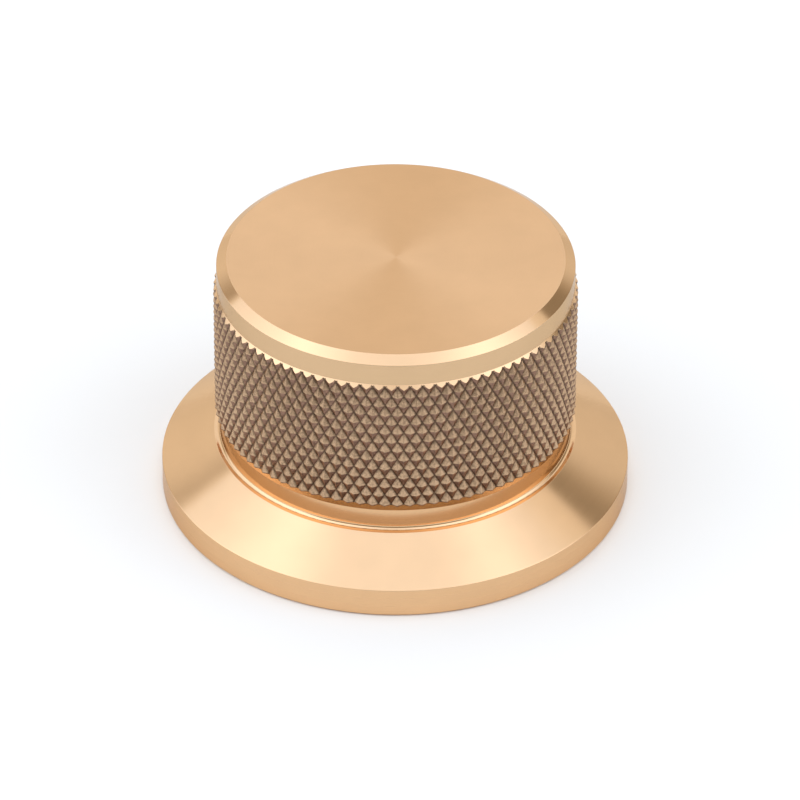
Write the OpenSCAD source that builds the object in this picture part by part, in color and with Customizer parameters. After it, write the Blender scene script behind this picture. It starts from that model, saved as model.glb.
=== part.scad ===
// Turned aluminium volume knob: a diamond-knurled grip over a waist, a flat shoulder and a conical skirt.
// One set screw at the back clamps it on a round shaft that enters from below.
// Millimetres, +Z up along the turning axis, the underside of the rim on Z = 0, the front towards -Y.

/* [Body] */
// Height of the knob from its underside to its top face
knob_h = 25; // [22:0.1:40]
// Diameter of the rim, the widest part
rim_d = 44; // [38:0.1:60]
// Height of the upright rim at the foot of the skirt
rim_h = 2.9; // [1:0.1:4.5]
// Height of the flat shoulder, where the skirt's cone begins
skirt_h = 5.88; // [4.6:0.02:7]
// Bevel that breaks the rim's lower edge
rim_edge = 0.2; // [0.05:0.05:0.6]

/* [Shoulder and waist] */
// Step of the shoulder's edge out beyond the knurl's points
shoulder_step = 0.05; // [-1:0.025:2]
// Depth of the waist below the knurl's points
waist_depth = 0.7; // [0.4:0.01:3]
// Width of the waist along the axis, from the shoulder to the grip
waist_w = 2.92; // [2:0.02:4]
// Radius of the cove between the waist and the shoulder
cove_r = 0.3; // [0.1:0.05:0.6]
// Height of the undercut that leads from the waist out to the grip
undercut_h = 0.9; // [0.2:0.05:1.6]

/* [Grip] */
// Length of the knurled band along the axis
grip_len = 13.45; // [8:0.05:14.5]
// Diameter over the points of the knurl
knurl_d = 34; // [32:0.1:36]
// Depth of the knurl from its points to where its grooves cross
knurl_depth = 0.3; // [0.15:0.01:0.4]
// Points in one row round the grip
knurl_teeth = 92; // [60:1:120]
// Angle of the grooves to the axis, in degrees
knurl_angle = 30; // [25:1:40]
// Distance of the first row of points below the land
knurl_start = 0.28; // [0.1:0.01:0.5]
// Turn of the first row's points from the front, in degrees
knurl_turn = 2.7; // [0:0.1:3.9]
// Length of the bevel at the upper end of the knurl
grip_bevel = 0.5; // [0.3:0.05:0.8]

/* [Land and top] */
// Depth of the plain land below the bottom of the knurl's grooves
land_clear = 0.05; // [0.02:0.01:0.5]
// Width of the bright bevel round the top face
top_bevel_w = 0.94; // [0.3:0.02:2]
// Height of the bright bevel round the top face
top_bevel_h = 0.64; // [0.3:0.02:1.5]

/* [Shaft hole] */
// Diameter of the shaft that the knob is made for
shaft_d = 6; // [4:0.05:6.4]
// Play of the shaft in its bore, on the diameter
shaft_play = 0.05; // [0.02:0.01:0.2]
// Depth of the bore's straight part above the recess
bore_len = 13; // [10:0.5:14]
// Angle across the drill's point at the blind end
drill_angle = 118; // [90:1:140]
// Bevel at the mouth of the bore
bore_bevel = 0.4; // [0.1:0.05:1]
// Diameter of the recess that clears the shaft's bushing and nut
recess_d = 18; // [14:0.5:24]
// Depth of the recess
recess_h = 5; // [4.5:0.1:5.2]

/* [Set screw] */
// Diameter of the set screw over its thread
screw_d = 3; // [2:0.5:4]
// Length of the set screw
screw_len = 10; // [5:0.5:12]
// Height of the screw's axis above the underside
screw_z = 13; // [11.5:0.5:16]
// Gap all round between the screw and its tapped hole
thread_gap = 0.05; // [0.02:0.01:0.1]
// Distance that the screw's point stands back from the bore
screw_back = 0.25; // [0.1:0.05:1]
// Width across the flats of the hexagon socket
key_af = 1.5; // [0.9:0.1:1.6]
// Depth of the hexagon socket
key_depth = 2; // [1:0.1:3]
// Diameter of the cup point's ring
cup_d = 1.4; // [1:0.1:1.6]
// Depth of the cup in the point
cup_depth = 0.4; // [0.1:0.05:0.6]
// Bevel round the socket end
screw_edge = 0.25; // [0.1:0.05:0.3]

/* [Hidden] */
$fn = 96;

// Steps in the round of the cove
cove_steps = 8;
// Stock above the knurl's points, which the knurl takes away all round
knurl_stock = 0.1;
// Length by which a cutting shape runs past the face it cuts
run_out = 1;

// Radii
rim_r = rim_d / 2;
tip_r = knurl_d / 2;
root_r = tip_r - knurl_depth;
stock_r = tip_r + knurl_stock;
land_r = root_r - land_clear;
waist_r = tip_r - waist_depth;
shoulder_r = tip_r + shoulder_step;
top_r = land_r - top_bevel_w;
bore_r = (shaft_d + shaft_play) / 2;
recess_r = recess_d / 2;
screw_r = screw_d / 2;
cup_r = cup_d / 2;
screw_hole_r = screw_r + thread_gap;

// Heights
grip_z0 = skirt_h + waist_w;
grip_z1 = grip_z0 + grip_len;
// Height over which the upper bevel climbs from the land to the stock's radius
bevel_z = grip_bevel * (stock_r - land_r) / (tip_r - land_r);
bore_z1 = recess_h + bore_len;
drill_z = bore_z1 + bore_r / tan(drill_angle / 2);

// Lattice of the knurl: in each row, points and groove crossings take turns
knurl_cols = 2 * knurl_teeth;
col_angle = 360 / knurl_cols;
// Half the height of one diamond, from its width round the grip and the grooves' angle
row_h = PI * knurl_d / knurl_teeth / tan(knurl_angle) / 2;
knurl_z1 = grip_z1 - knurl_start + row_h;
knurl_rows = ceil((knurl_z1 - grip_z0) / row_h);
knurl_z0 = knurl_z1 - knurl_rows * row_h;
// Outer radius of the ring that cuts the knurl
ring_r = stock_r + run_out;

// Points of an arc about [cr, cz], from angle a0 to a1
function arc(cr, cz, r, a0, a1) =
    [for (i = [0 : cove_steps]) let (a = a0 + (a1 - a0) * i / cove_steps) [cr + r * cos(a), cz + r * sin(a)]];

// Point at radius r and angle a degrees from the front, at height z
function round_point(r, a, z) = [r * sin(a), -r * cos(a), z];

// A point of the knurl where row and column add up to an odd number, and a groove crossing elsewhere
function knurl_r(row, col) = (row + col) % 2 == 1 ? tip_r : root_r;

// Number of a ring point, counted row by row
function at(row, col) = row * knurl_cols + col % knurl_cols;

// The two triangles of one lattice cell, split along the groove that crosses it
function knurl_cell(row, col) =
    let (a = at(row, col), b = at(row, col + 1), c = at(row + 1, col + 1), d = at(row + 1, col))
    (row + col) % 2 == 1 ? [[a, d, b], [c, b, d]] : [[a, d, c], [c, b, a]];

// Half section of the outside, from the top of the axis down to the underside
module outside_profile() {
    polygon(concat(
        [[0, 0], [0, knob_h], [top_r, knob_h], [land_r, knob_h - top_bevel_h]],
        [[land_r, grip_z1], [stock_r, grip_z1 - bevel_z], [stock_r, grip_z0], [land_r, grip_z0]],
        [[waist_r, grip_z0 - undercut_h]],
        arc(waist_r + cove_r, skirt_h + cove_r, cove_r, 180, 270),
        [[shoulder_r, skirt_h], [rim_r, rim_h], [rim_r, rim_edge], [rim_r - rim_edge, 0]]
    ));
}

// Half section of the recess and the blind bore above it
module shaft_hole_profile() {
    polygon([
        [0, -run_out], [recess_r, -run_out], [recess_r, recess_h],
        [bore_r + bore_bevel, recess_h], [bore_r, recess_h + bore_bevel],
        [bore_r, bore_z1], [0, drill_z]
    ]);
}

// Ring whose inner wall is the knurl, a lattice of four-sided points between crossing grooves
module knurl_ring() {
    outer0 = knurl_rows + 1;
    outer1 = knurl_rows + 2;
    points = [
        for (row = [0 : knurl_rows], col = [0 : knurl_cols - 1])
            round_point(knurl_r(row, col), knurl_turn + col * col_angle, knurl_z1 - row * row_h),
        for (z = [knurl_z1, knurl_z0], col = [0 : knurl_cols - 1])
            round_point(ring_r, knurl_turn + col * col_angle, z)
    ];
    lattice = [for (row = [0 : knurl_rows - 1], col = [0 : knurl_cols - 1]) each knurl_cell(row, col)];
    walls = [for (i = [0 : knurl_cols - 1]) each [
        [at(0, i), at(0, i + 1), at(outer0, i + 1), at(outer0, i)],
        [at(outer0, i), at(outer0, i + 1), at(outer1, i + 1), at(outer1, i)],
        [at(outer1, i), at(outer1, i + 1), at(knurl_rows, i + 1), at(knurl_rows, i)]
    ]];
    polyhedron(points, concat(lattice, walls));
}

// Places a shape drawn along +Z at the set screw's axis, pointing to the back
module along_screw(y) {
    translate([0, y, screw_z]) rotate([-90, 0, 0]) children();
}

// The knob, turned, bored and knurled from one bar
module knob_body() {
    color("burlywood") difference() {
        rotate_extrude() outside_profile();
        rotate_extrude() shaft_hole_profile();
        knurl_ring();
        along_screw(0) cylinder(r = screw_hole_r, h = ring_r);
    }
}

// Half section of the set screw, with its cup point on the axis at zero
module screw_profile() {
    polygon([
        [0, cup_depth], [cup_r, 0], [screw_r, screw_r - cup_r],
        [screw_r, screw_len - screw_edge], [screw_r - screw_edge, screw_len], [0, screw_len]
    ]);
}

// Hexagon-socket set screw with a cup point, backed off clear of the shaft
module set_screw() {
    color("dimgray") along_screw(bore_r + screw_back) difference() {
        rotate_extrude() screw_profile();
        translate([0, 0, screw_len - key_depth])
            cylinder(d = key_af / cos(30), h = key_depth + run_out, $fn = 6);
    }
}

knob_body();
set_screw();
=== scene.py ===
"""Looks of a champagne anodised aluminium volume knob with a diamond-knurled grip and a conical skirt.

The knob is made here as it is made in the shop: a turned blank, a knurl cut into its band, and a tapped
hole at the back. Each cutting or turned shape is a numpy surface. Metres, +Z up, the front towards -Y.
"""
import math

import bpy
import numpy as np
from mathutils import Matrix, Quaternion, Vector


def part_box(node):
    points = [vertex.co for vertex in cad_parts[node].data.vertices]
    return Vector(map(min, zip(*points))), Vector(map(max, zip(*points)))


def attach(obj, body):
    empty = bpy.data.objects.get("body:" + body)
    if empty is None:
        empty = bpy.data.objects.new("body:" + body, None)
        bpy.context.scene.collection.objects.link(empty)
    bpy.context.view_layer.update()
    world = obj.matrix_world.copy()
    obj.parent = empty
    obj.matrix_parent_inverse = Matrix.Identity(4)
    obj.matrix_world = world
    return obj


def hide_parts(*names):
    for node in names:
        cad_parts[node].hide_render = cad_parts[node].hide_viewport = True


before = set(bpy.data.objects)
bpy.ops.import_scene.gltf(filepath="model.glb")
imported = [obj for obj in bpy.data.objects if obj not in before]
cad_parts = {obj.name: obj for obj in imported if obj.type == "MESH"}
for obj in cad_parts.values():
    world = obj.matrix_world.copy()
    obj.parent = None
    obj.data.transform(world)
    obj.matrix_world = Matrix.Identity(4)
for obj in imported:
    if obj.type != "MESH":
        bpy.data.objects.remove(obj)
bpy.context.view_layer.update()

MM = 0.001

# Sizes of the knob, in millimetres, as in the part's source
knob_low, knob_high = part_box("knob_body")
KNOB_H = knob_high.z / MM
RIM_R = knob_high.x / MM
RIM_H = 2.9
RIM_EDGE = 0.2
SKIRT_H = 5.88
TIP_R = 17.0
KNURL_DEPTH = 0.3
KNURL_TEETH = 92
KNURL_ANGLE = math.radians(30)
KNURL_START = 0.28
KNURL_TURN = math.radians(2.7)
KNURL_STOCK = 0.1
GRIP_LEN = 13.45
GRIP_BEVEL = 0.5
LAND_CLEAR = 0.05
TOP_BEVEL_W = 0.94
TOP_BEVEL_H = 0.64
SHOULDER_STEP = 0.05
WAIST_W = 2.92
BORE_R = 3.025
BORE_LEN = 13.0
BORE_BEVEL = 0.4
DRILL_ANGLE = math.radians(118)
RECESS_R = 9.0
RECESS_H = 5.0
# Length by which a cutting shape runs past the face it cuts
RUN_OUT = 1.0

# The waist, which is a little shallower and rounder here than in the source, as its reflections ask
WAIST_DEPTH = 0.5
WAIST_LEAN = 0.06
COVE_R = 0.36
UNDERCUT_H = 0.75

# Radii that break the turned edges
TOP_EDGE = 0.05
LAND_EDGE = 0.02
WAIST_EDGE = 0.05
SHOULDER_EDGE = 0.04
SKIRT_EDGE = 0.06
FOOT_EDGE = 0.04
RECESS_EDGE = 0.1
RECESS_CORNER = 0.2
BORE_EDGE = 0.03

# Heights and radii worked out from them
ROOT_R = TIP_R - KNURL_DEPTH
LAND_R = ROOT_R - LAND_CLEAR
STOCK_R = TIP_R + KNURL_STOCK
WAIST_R = TIP_R - WAIST_DEPTH
SHOULDER_R = TIP_R + SHOULDER_STEP
GRIP_Z0 = SKIRT_H + WAIST_W
GRIP_Z1 = GRIP_Z0 + GRIP_LEN
FIRST_POINT_Z = GRIP_Z1 - KNURL_START
BEVEL_Z = GRIP_BEVEL * (STOCK_R - LAND_R) / (TIP_R - LAND_R)
BORE_TOP = RECESS_H + BORE_LEN
DRILL_TOP = BORE_TOP + BORE_R / math.tan(DRILL_ANGLE / 2)
COL_ANGLE = math.pi / KNURL_TEETH
ROW_H = math.pi * TIP_R / KNURL_TEETH / math.tan(KNURL_ANGLE)

# Set screw, a standard 3 mm one, placed by its node
screw_low, screw_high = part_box("set_screw")
SCREW_Y = screw_low.y / MM
SCREW_LEN = (screw_high.y - screw_low.y) / MM
SCREW_Z = (screw_low.z + screw_high.z) / 2 / MM
SCREW_R = 1.5
THREAD_PITCH = 0.5
THREAD_DEPTH = 0.3
THREAD_GAP = 0.05
KEY_AF = 1.5
KEY_DEPTH = 2.0
CUP_R = 0.7
CUP_DEPTH = 0.4
SCREW_EDGE = 0.25

# Fineness of the meshes
TURN_STEPS = 400
ARC_STEP = math.radians(7.5)
SCREW_STEPS = 48
THREAD_ROWS = 8
# Turn of the blank's columns, in steps, so that they run beside the knurl's and not along them
TURN_PHASE = 0.37
# Distance from an edge's arc to its support points, in radii of the edge
SUPPORT = 0.35
# Places across one half diamond where the knurl is sampled: a narrow strip rounds each ridge
RIDGE = 0.1
KNURL_SAMPLES = np.array([0, RIDGE, 1 - RIDGE])
# Angles at which smooth shading breaks
KNOB_CREASE = math.radians(10)
SCREW_CREASE = math.radians(30)

# Finishes of the knob, in the order of its material slots
FINISHES = [
    "top_face", "bright_bevel", "land", "end_bevel", "matt_knurl", "waist", "skirt", "rim", "underside",
]


def filleted(corners):
    """Half section through corners (radius, height, edge radius, finish of the stretch that follows).

    Each corner with an edge radius becomes an arc that is tangent to both stretches, with a support
    point on either side, so that the flat stretches keep their own shading.
    """
    points, finish = [], []
    last = len(corners) - 1
    for i, (r, z, edge, name) in enumerate(corners):
        here = np.array([r, z])
        if edge == 0 or i in (0, last):
            arc = here[None]
        else:
            into = here - np.array(corners[i - 1][:2])
            out = np.array(corners[i + 1][:2]) - here
            into, out = into / np.linalg.norm(into), out / np.linalg.norm(out)
            side = into[0] * out[1] - into[1] * out[0]
            turn = math.atan2(abs(side), into @ out)
            normal = np.array([-into[1], into[0]]) * np.sign(side)
            start = here - into * edge * math.tan(turn / 2)
            angles = np.linspace(0, turn, max(2, math.ceil(turn / ARC_STEP) + 1))[:, None]
            arc = start + normal * edge * (1 - np.cos(angles)) + into * edge * np.sin(angles)
            support = edge * SUPPORT
            arc = np.vstack([arc[0] - into * support, arc, arc[-1] + out * support])
        middle = len(arc) // 2
        before = corners[i - 1][3] if i else name
        points.append(arc)
        finish += [before if k < middle else name for k in range(len(arc))]
    return np.vstack(points), np.array([FINISHES.index(f) for f in finish[:-1]])


def grid_quads(rows, cols, wrap_rows=False):
    """Quads between neighbouring rows of points, closed round the columns, and round the rows if asked."""
    i = np.arange(rows if wrap_rows else rows - 1)[:, None]
    j = np.arange(cols)[None]
    up, right = (i + 1) % rows, (j + 1) % cols
    corners = [i * cols + j, up * cols + j, up * cols + right, i * cols + right]
    return np.stack([np.broadcast_to(c, (len(i), cols)) for c in corners], -1).reshape(-1, 4)


def mesh_object(name, points, faces, finish):
    """Object at the origin from points in millimetres, faces, and one finish number for each face."""
    mesh = bpy.data.meshes.new(name)
    mesh.from_pydata((points * MM).tolist(), [], faces)
    mesh.polygons.foreach_set("material_index", np.asarray(finish, np.int32))
    piece = bpy.data.objects.new(name, mesh)
    bpy.context.scene.collection.objects.link(piece)
    return piece


def capped_grid(name, grid, first, last, finish):
    """Closed skin over rows of points, with a fan to one pole point at either end.

    grid has the shape rows, columns, 3, and finish gives one number for each band, fans included.
    """
    rows, cols = grid.shape[:2]
    points = np.vstack([grid.reshape(-1, 3), first, last])
    j = np.arange(cols)
    right = (j + 1) % cols
    end = (rows - 1) * cols
    pole0, pole1 = rows * cols, rows * cols + 1
    fan0 = np.stack([np.full(cols, pole0), j, right], -1)
    fan1 = np.stack([end + j, np.full(cols, pole1), end + right], -1)
    faces = fan0.tolist() + grid_quads(rows, cols).tolist() + fan1.tolist()
    return mesh_object(name, points, faces, np.repeat(finish, cols))


def turned_blank():
    """Knob before knurling: its half section turned about Z, point (r, z) going to (r cos a, r sin a, z)."""
    corners = [
        (0, KNOB_H, 0, "top_face"),
        (LAND_R - TOP_BEVEL_W, KNOB_H, TOP_EDGE, "bright_bevel"),
        (LAND_R, KNOB_H - TOP_BEVEL_H, TOP_EDGE, "land"),
        (LAND_R, GRIP_Z1, LAND_EDGE, "end_bevel"),
        (STOCK_R, GRIP_Z1 - BEVEL_Z, 0, "matt_knurl"),
        (STOCK_R, GRIP_Z0, 0, "waist"),
        (LAND_R, GRIP_Z0, LAND_EDGE, "waist"),
        (WAIST_R, GRIP_Z0 - UNDERCUT_H, WAIST_EDGE, "waist"),
        (WAIST_R - WAIST_LEAN, SKIRT_H, COVE_R, "waist"),
        (SHOULDER_R, SKIRT_H, SHOULDER_EDGE, "skirt"),
        (RIM_R, RIM_H, SKIRT_EDGE, "rim"),
        (RIM_R, RIM_EDGE, FOOT_EDGE, "rim"),
        (RIM_R - RIM_EDGE, 0, FOOT_EDGE, "underside"),
        (RECESS_R, 0, RECESS_EDGE, "underside"),
        (RECESS_R, RECESS_H, RECESS_CORNER, "underside"),
        (BORE_R + BORE_BEVEL, RECESS_H, BORE_EDGE, "underside"),
        (BORE_R, RECESS_H + BORE_BEVEL, BORE_EDGE, "underside"),
        (BORE_R, BORE_TOP, 0, "underside"),
        (0, DRILL_TOP, 0, "underside"),
    ]
    section, finish = filleted(corners)
    r, z = section[1:-1, 0][:, None], section[1:-1, 1][:, None]
    a = (np.arange(TURN_STEPS)[None] + TURN_PHASE) * 2 * math.pi / TURN_STEPS
    grid = np.stack([r * np.cos(a), r * np.sin(a), z + 0 * a], -1)
    return capped_grid("knurled_knob", grid, [0, 0, KNOB_H], [0, 0, DRILL_TOP], finish)


def eased(x):
    """x from 0 to 1, with both ends rounded over a ridge's width so that a ridge is no knife edge."""
    low = x * x / (2 * RIDGE) + RIDGE / 2
    high = 1 - (1 - x) ** 2 / (2 * RIDGE) - RIDGE / 2
    return np.where(x < RIDGE, low, np.where(x > 1 - RIDGE, high, x))


def knurl_height(col, row):
    """Height of the knurl above its grooves, from 0 to 1.

    Points stand where column and row are both even or both odd. With dc and dr the distances to the
    nearest even column and row, the four faces of every point are |1 - dc - dr|.
    """
    dc = np.abs((col + 1) % 2 - 1)
    dr = np.abs((row + 1) % 2 - 1)
    return np.abs(1 - eased(dc) - eased(dr))


def knurl_ring():
    """Ring that cuts the knurl: its inner wall is the lattice of points, its outer wall a plain cylinder."""
    rows_down = math.ceil((FIRST_POINT_Z - GRIP_Z0) / ROW_H)
    row = np.append((np.arange(-rows_down, 1)[:, None] + KNURL_SAMPLES).ravel(), 1)
    col = (np.arange(2 * KNURL_TEETH)[:, None] + KNURL_SAMPLES).ravel()
    c, r = np.meshgrid(col, row)
    angle = KNURL_TURN + c * COL_ANGLE
    radius = TIP_R - KNURL_DEPTH * (1 - knurl_height(c, r))
    z = FIRST_POINT_Z + r * ROW_H
    inner = np.stack([radius * np.sin(angle), -radius * np.cos(angle), z], -1)
    ring_r = STOCK_R + RUN_OUT
    wall = np.stack([ring_r * np.sin(angle[0]), -ring_r * np.cos(angle[0])], -1)
    outer = [np.column_stack([wall, np.full(len(wall), end)]) for end in (z[-1, 0], z[0, 0])]
    grid = np.concatenate([inner, outer])
    quads = grid_quads(*grid.shape[:2], wrap_rows=True)
    # Each lattice quad is split along the groove that crosses its half diamond
    lattice = (len(row) - 1) * len(col)
    same = (np.floor(c[:-1]) + np.floor(r[:-1])) % 2 == 0
    a, b, d, e = quads[:lattice].T
    halves = np.where(same.reshape(-1, 1, 1),
                      np.stack([np.stack([a, b, e], -1), np.stack([b, d, e], -1)], 1),
                      np.stack([np.stack([a, b, d], -1), np.stack([a, d, e], -1)], 1))
    faces = halves.reshape(-1, 3).tolist() + quads[lattice:].tolist()
    finish = np.full(len(faces), FINISHES.index("matt_knurl"))
    return mesh_object("knurl_ring", grid.reshape(-1, 3), faces, finish)


def thread_radius(turn, along):
    """Radius of the screw's thread at an angle and a distance along it: a triangle wave on one helix."""
    wave = np.abs(2 * ((along / THREAD_PITCH + turn / (2 * math.pi)) % 1) - 1)
    return SCREW_R - THREAD_DEPTH * wave


def along_screw(radius, turn, along):
    """Points round the screw's axis, which runs to the back from the screw's own point."""
    return np.stack([radius * np.cos(turn), SCREW_Y + along + 0 * turn, SCREW_Z + radius * np.sin(turn)], -1)


def screw_grid(start, stop):
    """Angles round the screw and distances along it, for a threaded stretch."""
    rows = math.ceil((stop - start) / THREAD_PITCH * THREAD_ROWS)
    turn = np.arange(SCREW_STEPS) * 2 * math.pi / SCREW_STEPS
    return np.meshgrid(turn, np.linspace(start, stop, rows + 1))


def tapped_hole():
    """Cutter for the set screw's hole: the screw's thread with a small gap, from the axis to the outside."""
    start, stop = -SCREW_Y, STOCK_R + RUN_OUT - SCREW_Y
    turn, along = screw_grid(start, stop)
    grid = along_screw(thread_radius(turn, along) + THREAD_GAP, turn, along)
    finish = np.full(len(grid) + 1, FINISHES.index("underside"))
    poles = [[0, SCREW_Y + end, SCREW_Z] for end in (start, stop)]
    return capped_grid("tapped_hole", grid, *poles, finish)


def set_screw():
    """Set screw: cup point, thread between two bevels, flat end, and a hexagon socket of radius half/cos."""
    turn, along = screw_grid(0, SCREW_LEN)
    bevels = np.minimum(CUP_R + along, SCREW_R - SCREW_EDGE + SCREW_LEN - along)
    body = along_screw(np.minimum(thread_radius(turn, along), bevels), turn, along)
    sixth = math.pi / 3
    hexagon = KEY_AF / 2 / np.cos(turn[:1] % sixth - sixth / 2)
    mouth = along_screw(hexagon, turn[:1], np.full_like(hexagon, SCREW_LEN))
    floor = along_screw(hexagon, turn[:1], np.full_like(hexagon, SCREW_LEN - KEY_DEPTH))
    grid = np.concatenate([body, mouth, floor])
    poles = [[0, SCREW_Y + end, SCREW_Z] for end in (CUP_DEPTH, SCREW_LEN - KEY_DEPTH)]
    return capped_grid("socket_set_screw", grid, *poles, np.zeros(len(grid) + 1))


def cut(piece, *cutters):
    """Takes the cutters out of the piece and deletes them."""
    for cutter in cutters:
        step = piece.modifiers.new(cutter.name, "BOOLEAN")
        step.operation = "DIFFERENCE"
        step.solver = "EXACT"
        step.object = cutter
    evaluated = piece.evaluated_get(bpy.context.evaluated_depsgraph_get())
    mesh = bpy.data.meshes.new_from_object(evaluated)
    piece.modifiers.clear()
    piece.data = mesh
    for cutter in cutters:
        bpy.data.objects.remove(cutter)


def shade(piece, angle):
    """Smooth shading that breaks at edges sharper than the angle."""
    piece.data.shade_smooth()
    piece.data.set_sharp_from_angle(angle=angle)


class Nodes:
    """Short hand for building one node tree."""

    def __init__(self, tree):
        self.tree = tree
        tree.nodes.clear()

    def link(self, value, node, name):
        """Joins a value to the named input of a node."""
        self.tree.links.new(value, node.inputs[name])

    def add(self, kind, inputs=None, **settings):
        """New node with its settings, and with its inputs joined to values or set to constants."""
        node = self.tree.nodes.new(kind)
        for name, value in settings.items():
            setattr(node, name, value)
        for name, value in (inputs or {}).items():
            if isinstance(value, bpy.types.NodeSocket):
                self.link(value, node, name)
            else:
                node.inputs[name].default_value = value
        return node

    def math(self, operation, *values):
        """Result of one operation on the values."""
        return self.add("ShaderNodeMath", dict(enumerate(values)), operation=operation).outputs[0]

    def split(self, place):
        """The three coordinates of a place or a direction."""
        return self.add("ShaderNodeSeparateXYZ", {"Vector": place}).outputs

    def from_axis(self, x, y):
        """Distance from the Z axis."""
        return self.math("SQRT", self.math("ADD", self.math("MULTIPLY", x, x), self.math("MULTIPLY", y, y)))

    def round_axis(self, x, y):
        """Angle round the Z axis from the front, in radians, with the right positive."""
        return self.math("ARCTAN2", x, self.math("MULTIPLY", y, -1.0))

    def ramp(self, value, low, high, start=0.0, stop=1.0):
        """A smooth step of the value, from start at low to stop at high."""
        names = ("Value", "From Min", "From Max", "To Min", "To Max")
        inputs = dict(zip(names, (value, low, high, start, stop)))
        return self.add("ShaderNodeMapRange", inputs, interpolation_type="SMOOTHSTEP").outputs["Result"]

    def mix(self, factor, first, second):
        """First where the factor is 0, second where it is 1."""
        inverse = self.math("SUBTRACT", 1.0, factor)
        return self.math("ADD", self.math("MULTIPLY", first, inverse), self.math("MULTIPLY", second, factor))

    def blend(self, factor, first, second):
        """First colour where the factor is 0, second where it is 1."""
        inputs = {0: factor}
        for socket, colour in ((6, first), (7, second)):
            inputs[socket] = colour if isinstance(colour, bpy.types.NodeSocket) else (*colour, 1)
        return self.add("ShaderNodeMix", inputs, data_type="RGBA").outputs[2]

    def noise(self, place, scale, detail):
        """Noise from 0 to 1, with the scale in lumps to a millimetre."""
        inputs = {"Vector": place, "Scale": scale / MM, "Detail": detail, "Roughness": 0.6}
        return self.add("ShaderNodeTexNoise", inputs).outputs[0]

    def bump(self, height, depth, normal=None):
        """Normal of a relief whose depth is in millimetres, on top of another relief if one is given."""
        inputs = {"Height": height, "Strength": 1.0, "Distance": depth * MM}
        if normal:
            inputs["Normal"] = normal
        return self.add("ShaderNodeBump", inputs).outputs[0]


def new_material(name, constants):
    """New material with one shader that has the constants: also its nodes, the shader and the place."""
    material = bpy.data.materials.new(name)
    material.use_nodes = True
    n = Nodes(material.node_tree)
    out = n.add("ShaderNodeOutputMaterial")
    shader = n.add("ShaderNodeBsdfPrincipled", constants)
    n.link(shader.outputs[0], out, "Surface")
    place = n.add("ShaderNodeTexCoord").outputs["Object"]
    return material, n, shader, place


# Colours of the anodised metal, as linear reflectances
CHAMPAGNE = (0.785, 0.5, 0.272)
PALE_CHAMPAGNE = (0.66, 0.447, 0.257)
SATIN_CHAMPAGNE = (0.72, 0.438, 0.223)
MATT_CHAMPAGNE = (0.57, 0.38, 0.234)
# Colour of the knurl's lower flanks: painted shade, darker than the upper flanks
PAINTED_SHADE_CHAMPAGNE = (0.29, 0.175, 0.125)
# Colours of the set screw's steel, where it is black and where it is worn
BLACK_STEEL = (0.07, 0.07, 0.075)
WORN_STEEL = (0.2, 0.2, 0.21)
# Metal whose shine is a little dulled at a grazing angle
METAL = {"Metallic": 1.0, "Specular Tint": (0.75, 0.69, 0.62, 1)}

# Range of a noise that holds nearly all of it
NOISE_RANGE = (0.3, 0.7)
# Share by which the colour and the roughness of a turned face vary
COLOUR_DRIFT = 0.04
ROUGH_DRIFT = 0.1
# Lumps to a millimetre in the drift of the colour and in the fine grain of a turned face
DRIFT_SCALE = 0.35
GRAIN_SCALE = 9.0


def turned(name, roughness, lines=12, line_depth=0.001, grain=0.0005, anisotropic=0.0, colour=CHAMPAGNE):
    """Champagne metal with fine turning lines round the Z axis over a fine grain.

    lines is how many lines there are to a millimetre of radius or height. Their depth and the grain's are
    in millimetres.
    """
    material, n, shader, place = new_material(name, METAL)
    x, y, z = n.split(place)
    ring = n.add("ShaderNodeCombineXYZ", {"X": n.from_axis(x, y), "Y": z, "Z": 0.0}).outputs[0]
    turning = n.noise(ring, lines, 2.0)
    drift = n.noise(place, DRIFT_SCALE, 2.0)
    deep = tuple(c * (1 - COLOUR_DRIFT) for c in colour)
    pale = tuple(c * (1 + COLOUR_DRIFT) for c in colour)
    smooth, rough = roughness * (1 - ROUGH_DRIFT), roughness * (1 + ROUGH_DRIFT)
    relief = n.bump(turning, line_depth, n.bump(n.noise(place, GRAIN_SCALE, 3.0), grain))
    n.link(n.blend(drift, deep, pale), shader, "Base Color")
    n.link(n.ramp(turning, *NOISE_RANGE, smooth, rough), shader, "Roughness")
    n.link(relief, shader, "Normal")
    if anisotropic:
        shader.inputs["Anisotropic"].default_value = anisotropic
        tangent = n.add("ShaderNodeTangent", direction_type="RADIAL", axis="Z").outputs[0]
        n.link(tangent, shader, "Tangent")
    return material


# Grain of the blasted knurl: lumps to a millimetre, depth in millimetres, and how far it moves the tone
BLAST_SCALE = 4.0
BLAST_DEPTH = 0.012
BLAST_SPECKLE = 0.28
SPECKLE_RANGE = (0.35, 0.65)
# Roughness of the knurl from the grain's low places to its high ones
BLAST_ROUGHNESS = (0.36, 0.26)
# Half width of the change from the upper flanks to the painted shade of the lower flanks, in steps from point
# to point
FLANK_CHANGE = 0.04
# Painted shade in the grooves: where it begins and ends, in steps from a point, and its tone in falling and
# rising grooves
GROOVE_SHADE = (0.3, 0.48)
FALLING_GROOVE_SHADE = 0.45
RISING_GROOVE_SHADE = 0.6
# Painted highlight on the knurl's points: the depth below them that it reaches, in millimetres, and its tone
HIGHLIGHT_DEPTH = 0.09
HIGHLIGHT_TONE = 1.25


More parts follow.
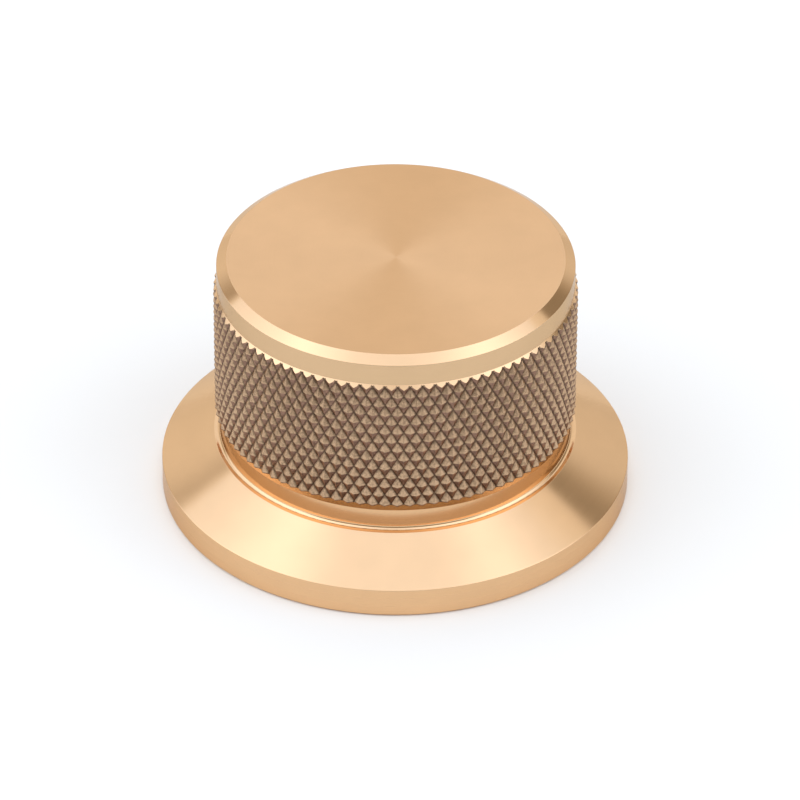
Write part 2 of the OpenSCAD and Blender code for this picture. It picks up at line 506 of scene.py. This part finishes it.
def blasted_knurl():
    """Matt blasted champagne of the knurl, with painted shade on the lower flanks and in the grooves.

    With u and v half the sum and half the difference of column and row, a point of the knurl stands at
    every whole u and v. Which flank a place is on follows from its distances to the nearest point, across
    and up. Grooves run where either distance is a half.
    """
    material, n, shader, place = new_material("blasted_knurl", METAL)
    x, y, z = n.split(place)
    col = n.math("DIVIDE", n.math("SUBTRACT", n.round_axis(x, y), KNURL_TURN), COL_ANGLE)
    row = n.math("DIVIDE", n.math("SUBTRACT", z, FIRST_POINT_Z * MM), ROW_H * MM)
    u = n.math("MULTIPLY", n.math("ADD", col, row), 0.5)
    v = n.math("MULTIPLY", n.math("SUBTRACT", col, row), 0.5)
    du = n.math("SUBTRACT", u, n.math("ROUND", u))
    dv = n.math("SUBTRACT", v, n.math("ROUND", v))
    # Lower flanks, which get a painted shade
    lower = n.ramp(n.math("SUBTRACT", du, dv), FLANK_CHANGE, -FLANK_CHANGE)
    # Painted shade that deepens into the falling and the rising grooves
    falling = n.ramp(n.math("ABSOLUTE", du), *GROOVE_SHADE, 1.0, FALLING_GROOVE_SHADE)
    rising = n.ramp(n.math("ABSOLUTE", dv), *GROOVE_SHADE, 1.0, RISING_GROOVE_SHADE)
    # Painted highlight on the knurl's points
    bright = n.ramp(n.from_axis(x, y), (TIP_R - HIGHLIGHT_DEPTH) * MM, TIP_R * MM, 1.0, HIGHLIGHT_TONE)
    grain = n.noise(place, BLAST_SCALE, 3.0)
    speckle = n.ramp(grain, *SPECKLE_RANGE, 1 - BLAST_SPECKLE, 1 + BLAST_SPECKLE)
    # Random speckle of the blast grain, times the painted groove shade and the painted highlight on the
    # points
    tone = n.math("MULTIPLY", speckle, n.math("MULTIPLY", n.math("MULTIPLY", falling, rising), bright))
    # Upper flanks in matt champagne, lower flanks in the darker colour of painted shade
    flank = n.blend(lower, MATT_CHAMPAGNE, PAINTED_SHADE_CHAMPAGNE)
    n.link(n.blend(tone, (0, 0, 0), flank), shader, "Base Color")
    n.link(n.ramp(grain, *NOISE_RANGE, *BLAST_ROUGHNESS), shader, "Roughness")
    n.link(n.bump(grain, BLAST_DEPTH), shader, "Normal")
    return material


# Wear of the set screw: lumps to a millimetre, and roughness from the black places to the worn ones
WEAR_SCALE = 2.5
WEAR_ROUGHNESS = (0.45, 0.3)


def blackened_steel():
    """Dark steel of the set screw, a little worn."""
    material, n, shader, place = new_material("blackened_steel", METAL)
    wear = n.noise(place, WEAR_SCALE, 4.0)
    n.link(n.blend(wear, BLACK_STEEL, WORN_STEEL), shader, "Base Color")
    n.link(n.ramp(wear, *NOISE_RANGE, *WEAR_ROUGHNESS), shader, "Roughness")
    return material


# Colours of the paper, which evens out the cool lamps, and of the table beyond it
PAPER = (0.82, 0.775, 0.69)
TABLE = (0.12, 0.1, 0.085)
MATT_PAPER = {"Roughness": 0.9, "Specular IOR Level": 0.1}
# Distance from the knob's axis to the paper's front and side edges and the width of its soft edge, in metres
PAPER_EDGE = 0.088
PAPER_SOFT = 0.022
# Width that each side of the paper gains with every metre towards the back
PAPER_SPREAD = 0.8
# Half the side of the floor, in metres
FLOOR_HALF = 2.0


def pale_floor():
    """White paper that keeps the knob's shadow, on a dark table that shows beyond its front and sides.

    The paper widens to the back. A place's distance is the larger of its distances to the front and to
    the side, and the table begins where that passes the paper's edge.
    """
    sides = (-FLOOR_HALF, FLOOR_HALF)
    corners = [(sides[i], sides[j], 0) for i, j in ((0, 0), (1, 0), (1, 1), (0, 1))]
    mesh = bpy.data.meshes.new("floor")
    mesh.from_pydata(corners, [], [range(len(corners))])
    floor = bpy.data.objects.new("floor", mesh)
    bpy.context.scene.collection.objects.link(floor)
    material, n, shader, place = new_material("white_paper", MATT_PAPER)
    x, y, z = n.split(place)
    spread = n.math("MULTIPLY", n.math("MAXIMUM", y, 0.0), PAPER_SPREAD)
    beside = n.math("SUBTRACT", n.math("ABSOLUTE", x), spread)
    far = n.math("MAXIMUM", beside, n.math("MULTIPLY", y, -1.0))
    edge = n.ramp(far, PAPER_EDGE, PAPER_EDGE + PAPER_SOFT)
    n.link(n.blend(edge, PAPER, TABLE), shader, "Base Color")
    mesh.materials.append(material)


# Brightness of the studio, where 1 shows as white: pairs run from a form's first angle to its second
LAMP = 1.8
LEFT_LAMP_FAR = 1.25
RIGHT_LAMP_FAR = 1.0
LEFT_GAP = 0.52
RIGHT_GAP = 0.35
LEFT_BACK = 0.96
RIGHT_BACK = 0.88
BACK_GLOW = 0.45
OVERHEAD = 1.26
FRONT_LOW = (0.4, 1.2)
FRONT_HIGH = (1.13, 1.6)
DUSK = 0.15
# Colours of the lamps, which are cool, and of the dark gaps, which are warm
COOL = (1.0, 1.1, 1.3)
NEUTRAL = (1.0, 1.0, 1.0)
WARM = (1.0, 0.92, 0.8)
# Brightness over which the colour turns from warm to neutral, and from neutral to cool
WARM_RANGE = (0.4, 0.8)
COOL_RANGE = (1.0, 1.2)
# Angles from the front, to either side, over which each form of the studio changes, in degrees
FRONT_LOW_TURN = (0.0, 70.0)
FRONT_HIGH_TURN = (0.0, 40.0)
LAMP_TURN = (42.0, 62.0)
LEFT_LAMP_TURN = (84.0, 126.0)
RIGHT_LAMP_TURN = (94.0, 119.0)
LEFT_GAP_TURN = (126.0, 131.0)
RIGHT_GAP_TURN = (117.0, 121.0)
BACK_TURN = (125.5, 132.5)
DUSK_TURN = (62.0, 36.0)
# Elevations over which each form of the studio changes, in degrees
FRONT_RISE = (18.0, 36.0)
BACK_RISE = (20.0, 62.0)
OVERHEAD_RISE = (58.0, 77.0)
DUSK_RISE = (18.0, 6.0)
# Elevation at which the forms stand at their angles, and degrees that they lean for each degree from it
LEAN_FROM = 37.0
LEFT_LEAN = 0.1
RIGHT_LEAN = 0.5
BACK_LEAN = 0.5
# Elevation at which the right lamp's far edge is farthest back, and its bend above and below
BEND_FROM = 44.0
BEND = 0.55
# Half width of the change from left to right, as a part of the direction
SIDE_CHANGE = 0.05


def studio_light():
    """Soft studio round the knob, by the angle round it from the front and by the elevation, in degrees.

    A tall lamp stands at either side and one hangs overhead. Behind each side lamp is a dark gap, and then
    the pale back wall. The front is darker in the middle, and dark low down, where the room shows.
    """
    world = bpy.data.worlds.new("studio")
    bpy.context.scene.world = world
    world.use_nodes = True
    n = Nodes(world.node_tree)
    out = n.add("ShaderNodeOutputWorld")
    way = n.add("ShaderNodeTexCoord").outputs["Generated"]
    x, y, z = n.split(way)
    elevation = n.math("DEGREES", n.math("ARCSINE", z))
    apart = n.math("ABSOLUTE", n.math("DEGREES", n.round_axis(x, y)))
    right = n.ramp(x, -SIDE_CHANGE, SIDE_CHANGE)
    # The lamps and the gaps lean back as they rise, the right ones more, and the back wall leans forwards
    above = n.math("SUBTRACT", elevation, LEAN_FROM)
    upright = n.math("SUBTRACT", apart, n.math("MULTIPLY", above, n.mix(right, LEFT_LEAN, RIGHT_LEAN)))
    behind = n.math("ADD", apart, n.math("MULTIPLY", above, BACK_LEAN))
    off_bend = n.math("ABSOLUTE", n.math("SUBTRACT", elevation, BEND_FROM))
    bent = n.math("ADD", apart, n.math("MULTIPLY", off_bend, BEND))
    front_low = n.ramp(apart, *FRONT_LOW_TURN, *FRONT_LOW)
    front_high = n.ramp(apart, *FRONT_HIGH_TURN, *FRONT_HIGH)
    left_lamp = n.ramp(upright, *LEFT_LAMP_TURN, LAMP, LEFT_LAMP_FAR)
    right_lamp = n.ramp(bent, *RIGHT_LAMP_TURN, LAMP, RIGHT_LAMP_FAR)
    gap_ends = [n.mix(right, *ends) for ends in zip(LEFT_GAP_TURN, RIGHT_GAP_TURN)]
    wall = n.math("ADD", n.mix(right, LEFT_BACK, RIGHT_BACK), n.ramp(elevation, *BACK_RISE, 0.0, BACK_GLOW))
    dusk = n.math("MULTIPLY", n.ramp(elevation, *DUSK_RISE), n.ramp(apart, *DUSK_TURN))
    light = n.mix(n.ramp(elevation, *FRONT_RISE), front_low, front_high)
    light = n.mix(n.ramp(apart, *LAMP_TURN), light, n.mix(right, left_lamp, right_lamp))
    light = n.mix(n.ramp(upright, *gap_ends), light, n.mix(right, LEFT_GAP, RIGHT_GAP))
    light = n.mix(n.ramp(behind, *BACK_TURN), light, wall)
    light = n.mix(n.ramp(elevation, *OVERHEAD_RISE), light, OVERHEAD)
    light = n.mix(dusk, light, DUSK)
    pale = n.blend(n.ramp(light, *WARM_RANGE), WARM, NEUTRAL)
    colour = n.blend(n.ramp(light, *COOL_RANGE), pale, COOL)
    background = n.add("ShaderNodeBackground", {"Color": colour, "Strength": light})
    n.link(background.outputs[0], out, "Surface")


def photo_camera():
    """Camera at the photograph's place: a long lens looking down on the front."""
    elevation = math.radians(35.147)
    distance, focal_pixels = 606.14, 6462.2
    picture = 800
    # Where the axis at 11 mm height shows, from the picture's middle, right and up in pixels
    shown_right, shown_up = -4.71, 19.08
    roll = 0.00479
    seen = Vector((0, 0, 11))
    back = Vector((0, -math.cos(elevation), math.sin(elevation)))
    up = Vector((0, math.sin(elevation), math.cos(elevation)))
    pixel = distance / focal_pixels
    aim = seen + Vector((1, 0, 0)) * (-shown_right * pixel) - up * (shown_up * pixel)
    place = seen + back * distance
    lens = bpy.data.cameras.new("camera")
    lens.sensor_width = 36
    lens.lens = lens.sensor_width * focal_pixels / picture
    lens.clip_start = 0.01
    lens.clip_end = 20
    camera = bpy.data.objects.new("camera", lens)
    bpy.context.scene.collection.objects.link(camera)
    camera.location = place * MM
    camera.rotation_mode = "QUATERNION"
    camera.rotation_quaternion = (aim - place).to_track_quat("-Z", "Y") @ Quaternion((0, 0, 1), roll)
    bpy.context.scene.camera = camera


def dress():
    """Makes the knob and its set screw and gives them their finishes."""
    finishes = {
        "top_face": turned("turned_top", 0.4, anisotropic=0.75, colour=SATIN_CHAMPAGNE),
        "bright_bevel": turned("bright_cut", 0.1, lines=10, line_depth=0.0004, grain=0.0001),
        "land": turned("turned_land", 0.25, colour=PALE_CHAMPAGNE),
        "end_bevel": turned("bright_end", 0.2, lines=10, line_depth=0.0004, grain=0.0001),
        "matt_knurl": blasted_knurl(),
        "waist": turned("turned_waist", 0.13, line_depth=0.0006, grain=0.0003),
        "skirt": turned("polished_skirt", 0.13, lines=10, line_depth=0.0006, grain=0.0002),
        "rim": turned("turned_rim", 0.25),
        "underside": turned("bored_underside", 0.3, lines=6, line_depth=0.003, grain=0.001),
    }
    knob = turned_blank()
    cutters = [knurl_ring(), tapped_hole()]
    for piece in (knob, *cutters):
        for name in FINISHES:
            piece.data.materials.append(finishes[name])
    cut(knob, *cutters)
    shade(knob, KNOB_CREASE)
    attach(knob, "root")
    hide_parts("knob_body")
    screw = set_screw()
    screw.data.materials.append(blackened_steel())
    shade(screw, SCREW_CREASE)
    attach(screw, "root")
    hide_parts("set_screw")


bpy.context.scene.view_settings.view_transform = "Standard"
photo_camera()
studio_light()
pale_floor()
dress()
